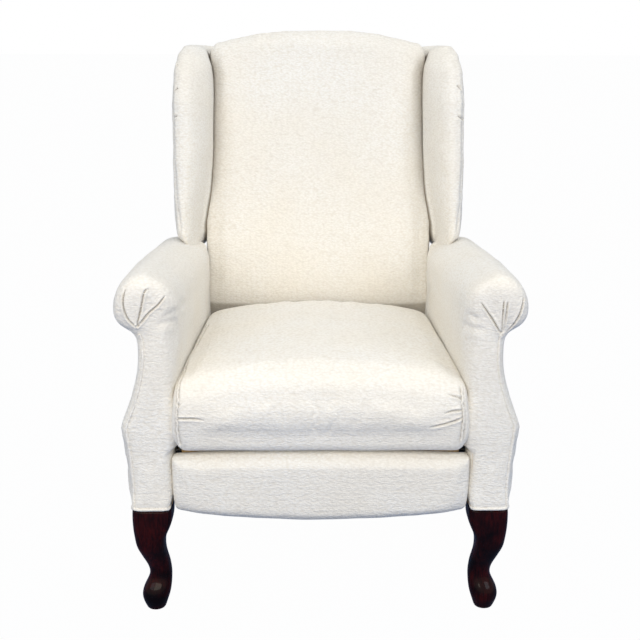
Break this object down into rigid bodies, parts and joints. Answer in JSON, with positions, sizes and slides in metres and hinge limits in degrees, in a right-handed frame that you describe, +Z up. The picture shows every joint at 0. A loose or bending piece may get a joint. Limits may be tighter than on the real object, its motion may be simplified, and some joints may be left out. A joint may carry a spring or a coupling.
{
  "type": "wingback recliner",
  "caption": "High-leg wing chair with rolled arms and cabriole legs; the seat swings forward to open a footrest panel and the back reclines.",
  "frame": {"origin": "on the floor, under the middle of the chair", "axes": "+X to the sitter's left, -Y to the front, +Z up"},
  "size_m": [0.748, 0.8051, 1.1053],
  "materials": {
    "cream_chenille": "woven chenille",
    "decking": "plain woven decking cloth",
    "mahogany": "dark gloss lacquer",
    "frame_wood": "bare planed hardwood",
    "mechanism_steel": "black enamel",
    "spring_wire": "bright drawn wire",
    "zinc_fastener": "zinc plated",
    "glide_plastic": "moulded"
  },
  "bodies": {
    "base": {"left_arm_stump": "frame_wood", "right_arm_stump": "frame_wood", "left_arm_rear_board": "frame_wood", "right_arm_rear_board": "frame_wood", "left_arm_rail": "frame_wood", "right_arm_rail": "frame_wood", "left_side_rail": "frame_wood", "right_side_rail": "frame_wood", "left_arm_cover": "cream_chenille", "right_arm_cover": "cream_chenille", "left_front_leg": "mahogany", "right_front_leg": "mahogany", "left_rear_leg": "mahogany", "right_rear_leg": "mahogany", "rear_stretcher": "frame_wood", "leg_bolts": "zinc_fastener", "leg_glides": "glide_plastic", "left_base_plate": "mechanism_steel", "right_base_plate": "mechanism_steel", "base_tube": "mechanism_steel", "base_screws": "zinc_fastener"},
    "rear_swing_links": {"left_rear_swing_link": "mechanism_steel", "right_rear_swing_link": "mechanism_steel"},
    "front_swing_links": {"left_front_swing_link": "mechanism_steel", "right_front_swing_link": "mechanism_steel"},
    "seat": {"left_seat_plate": "mechanism_steel", "right_seat_plate": "mechanism_steel", "seat_front_rail": "frame_wood", "seat_rear_rail": "frame_wood", "left_seat_rail": "frame_wood", "right_seat_rail": "frame_wood", "seat_springs": "spring_wire", "deck_pad": "decking", "seat_cushion": "cream_chenille"},
    "drive_links": {"left_drive_link": "mechanism_steel", "right_drive_link": "mechanism_steel"},
    "idler_links": {"left_idler_link": "mechanism_steel", "right_idler_link": "mechanism_steel"},
    "cross_links": {"left_cross_link": "mechanism_steel", "right_cross_link": "mechanism_steel"},
    "tilt_links": {"left_tilt_link": "mechanism_steel", "right_tilt_link": "mechanism_steel"},
    "footrest": {"left_footrest_bracket": "mechanism_steel", "right_footrest_bracket": "mechanism_steel", "footrest_board": "frame_wood", "footrest_pad": "cream_chenille"},
    "back": {"left_back_stile": "frame_wood", "right_back_stile": "frame_wood", "back_top_rail": "frame_wood", "back_bottom_rail": "frame_wood", "back_springs": "spring_wire", "outside_back": "cream_chenille", "back_cushion": "cream_chenille", "left_wing_board": "frame_wood", "right_wing_board": "frame_wood", "left_wing_cover": "cream_chenille", "right_wing_cover": "cream_chenille", "left_hinge_bracket": "mechanism_steel", "right_hinge_bracket": "mechanism_steel"}
  },
  "joints": [
    {"name": "seat_swing", "type": "hinge", "parent": "base", "child": "rear_swing_links", "pos_m": [0, 0.1095, 0.318], "axis": [-1, 0, 0], "range_deg": [0, 42]},
    {"name": "front_link_swing", "type": "hinge", "parent": "base", "child": "front_swing_links", "pos_m": [0, -0.0205, 0.318], "axis": [-1, 0, 0], "range_deg": [0, 42.05]},
    {"name": "seat_level", "type": "hinge", "parent": "rear_swing_links", "child": "seat", "pos_m": [0, 0.12339, 0.23922], "axis": [-1, 0, 0], "range_deg": [-42.05, 0]},
    {"name": "drive_link_swing", "type": "hinge", "parent": "seat", "child": "drive_links", "pos_m": [0, -0.3285, 0.328], "axis": [-1, 0, 0], "range_deg": [0, 136.75]},
    {"name": "idler_link_swing", "type": "hinge", "parent": "seat", "child": "idler_links", "pos_m": [0, -0.2793, 0.3197], "axis": [-1, 0, 0], "range_deg": [0, 136.85]},
    {"name": "cross_link_turn", "type": "hinge", "parent": "drive_links", "child": "cross_links", "pos_m": [0, -0.1392, 0.2319], "axis": [-1, 0, 0], "range_deg": [-138.65, 0]},
    {"name": "tilt_link_turn", "type": "hinge", "parent": "drive_links", "child": "tilt_links", "pos_m": [0, -0.1155, 0.2639], "axis": [-1, 0, 0], "range_deg": [-145.85, 0]},
    {"name": "footrest_turn", "type": "hinge", "parent": "cross_links", "child": "footrest", "pos_m": [0, -0.3245, 0.2847], "axis": [-1, 0, 0], "range_deg": [0, 110.65]},
    {"name": "back_recline", "type": "hinge", "parent": "seat", "child": "back", "pos_m": [0, 0.1845, 0.326], "axis": [-1, 0, 0], "range_deg": [0, 30]}
  ],
  "couplings": [
    {"joint": "front_link_swing", "follows": "seat_swing", "ratio": 1},
    {"joint": "seat_level", "follows": "seat_swing", "ratio": -1},
    {"joint": "drive_link_swing", "follows": "seat_swing", "ratio": 3.2548},
    {"joint": "idler_link_swing", "follows": "seat_swing", "ratio": 3.2571},
    {"joint": "cross_link_turn", "follows": "seat_swing", "ratio": -3.3},
    {"joint": "tilt_link_turn", "follows": "seat_swing", "ratio": -3.4714},
    {"joint": "footrest_turn", "follows": "seat_swing", "ratio": 2.6333}
  ]
}
